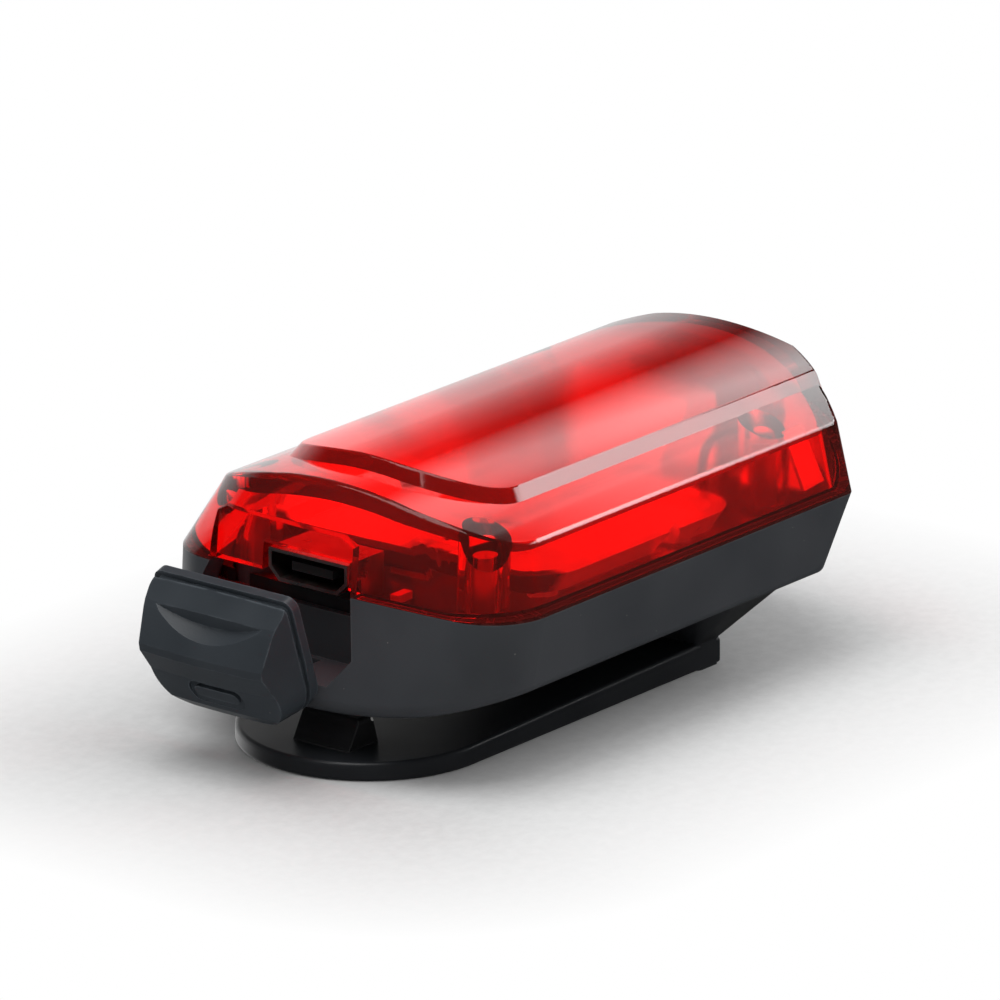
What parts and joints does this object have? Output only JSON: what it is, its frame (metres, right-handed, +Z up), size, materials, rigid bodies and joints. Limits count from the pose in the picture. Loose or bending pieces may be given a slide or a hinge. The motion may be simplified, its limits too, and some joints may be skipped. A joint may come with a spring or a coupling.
{
  "type": "bicycle rear light",
  "caption": "Clip-on bicycle rear light with a clear red lens on a black housing, its rubber charging cover hanging open.",
  "frame": {"origin": "on the flat underside of the clip, in the middle of the light's width", "axes": "+X towards the round switch end, +Z up through the lens, -X towards the charging socket"},
  "size_m": [0.0602, 0.033, 0.0221],
  "materials": {
    "black_shell": "satin black moulded plastic",
    "red_lens": "clear red moulded plastic, polished",
    "black_rubber": "soft black rubber",
    "clear_silicone": "silicone seal",
    "black_plastic": "black moulded plastic",
    "board_black": "black coated circuit board",
    "socket_steel": "plated sheet steel",
    "screw_steel": "plated steel",
    "contact_gold": "gold-plated contacts",
    "lamp_white": "lamp package with amber-tinted dome",
    "tray_silver": "metallised plastic",
    "cell_foil": "pouch foil",
    "foam_tape": "foam tape",
    "lead_red": "red insulated wire",
    "lead_black": "black insulated wire",
    "solder": "solder"
  },
  "bodies": {
    "light_body": {"base_housing": "black_shell", "lens": "red_lens", "lens_seal": "clear_silicone", "lens_screws": "screw_steel", "circuit_board": "board_black", "board_screws": "screw_steel", "usb_socket_shell": "socket_steel", "usb_socket_tongue": "black_plastic", "usb_contacts": "contact_gold", "leds": "lamp_white", "status_led": "lamp_white", "reflector_tray": "tray_silver", "charge_chip": "black_plastic", "board_components": "solder", "battery_cell": "cell_foil", "battery_tape": "foam_tape", "battery_lead_red": "lead_red", "battery_lead_black": "lead_black", "lead_pads": "solder", "switch_body": "black_plastic", "switch_carrier": "tray_silver"},
    "charging_cover": {"usb_cover": "black_rubber"},
    "spring_clip": {"clip": "black_shell", "clip_grip_pad": "black_rubber"},
    "button": {"power_button": "black_rubber", "switch_plunger": "black_plastic"}
  },
  "joints": [
    {"name": "cover_hinge", "type": "hinge", "parent": "light_body", "child": "charging_cover", "pos_m": [-0.01905, 0.0044, 0.0053], "axis": [0, 1, 0], "range_deg": [-12, 39]},
    {"name": "clip_flex", "type": "hinge", "parent": "light_body", "child": "spring_clip", "pos_m": [0.0174, 0, 0.0069], "axis": [0, -1, 0], "range_deg": [0, 6], "stiffness_Nm_per_rad": 2},
    {"name": "button_press", "type": "slide", "parent": "light_body", "child": "button", "axis": [-1, 0, 0], "range_m": [0, 0.0005], "stiffness_N_per_m": 2000}
  ]
}
